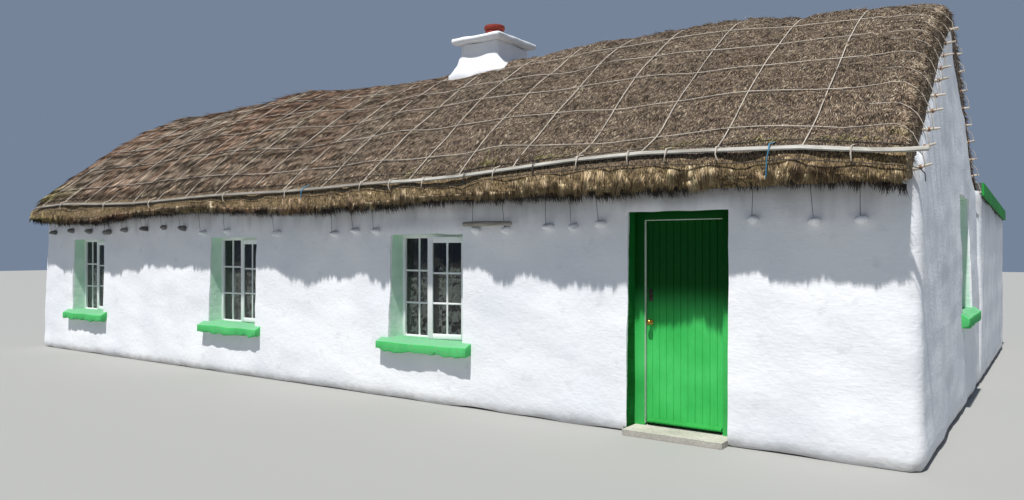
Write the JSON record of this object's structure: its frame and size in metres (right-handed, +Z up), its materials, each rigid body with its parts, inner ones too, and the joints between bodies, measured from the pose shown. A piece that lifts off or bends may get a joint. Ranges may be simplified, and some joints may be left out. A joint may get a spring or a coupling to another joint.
{
  "type": "thatched cottage",
  "caption": "Low whitewashed stone cottage with a roped thatch roof, small deep windows, green door and sills, a ridge chimney and a flat-roofed rear extension.",
  "frame": {"origin": "on the ground under the middle of the main room's floor slab", "axes": "+X along the front towards the right gable, +Y back through the house (the front faces -Y), +Z up"},
  "size_m": [13.5184, 9.4253, 4.7156],
  "materials": {
    "limewash": "lumpy matt limewash over stone",
    "thatch": "weathered straw",
    "rope": "twisted fibre rope",
    "rail": "weathered pale timber",
    "door_green": "gloss paint on boards",
    "sill_green": "chipped masonry paint",
    "window_white": "white gloss",
    "weather_bar": "dull",
    "glass": "dark, with a lace curtain behind",
    "brass": "polished",
    "dark_metal": "dark bronze",
    "terracotta": "unglazed",
    "stone": "worn",
    "timber": "weathered",
    "felt": "mineral felt"
  },
  "bodies": {
    "house": {"front_wall_left": "limewash", "front_wall_right": "limewash", "front_wall_over_door": "limewash", "rear_wall": "limewash", "right_gable_wall": "limewash", "left_gable_wall": "limewash", "floor_slab": "stone", "door_threshold": "stone", "thatch_front_slope": "thatch", "thatch_rear_slope": "thatch", "rope_net": "rope", "eave_rail_left": "rail", "eave_rail_middle": "rail", "eave_rail_right": "rail", "eave_rail_rear": "rail", "peg_pole": "timber", "chimney_stack": "limewash", "chimney_cap": "limewash", "chimney_pot": "terracotta", "front_window_left_frame": "window_white", "front_window_left_glass": "glass", "front_window_left_sill": "sill_green", "front_window_middle_frame": "window_white", "front_window_middle_glass": "glass", "front_window_middle_sill": "sill_green", "front_window_right_frame": "window_white", "front_window_right_glass": "glass", "front_window_right_sill": "sill_green", "gable_window_frame": "window_white", "gable_window_glass": "glass", "gable_window_sill": "sill_green", "rear_window_left_frame": "window_white", "rear_window_left_glass": "glass", "rear_window_left_sill": "sill_green", "rear_window_right_frame": "window_white", "rear_window_right_glass": "glass", "rear_window_right_sill": "sill_green", "extension_window_frame": "window_white", "extension_window_glass": "glass", "extension_window_sill": "sill_green", "door_frame": "door_green", "extension_right_wall": "limewash", "extension_left_wall": "limewash", "extension_rear_wall": "limewash", "extension_floor": "stone", "extension_roof": "felt", "extension_fascia": "door_green"},
    "door": {"door_leaf": "door_green", "door_weather_bar": "weather_bar", "door_knob_outer": "brass", "door_knob_inner": "brass", "door_lock_plate": "dark_metal"}
  },
  "joints": [
    {"name": "door_hinge", "type": "hinge", "parent": "house", "child": "door", "pos_m": [5.1555, -2.156, 1], "axis": [0, 0, -1], "range_deg": [0, 95]}
  ]
}
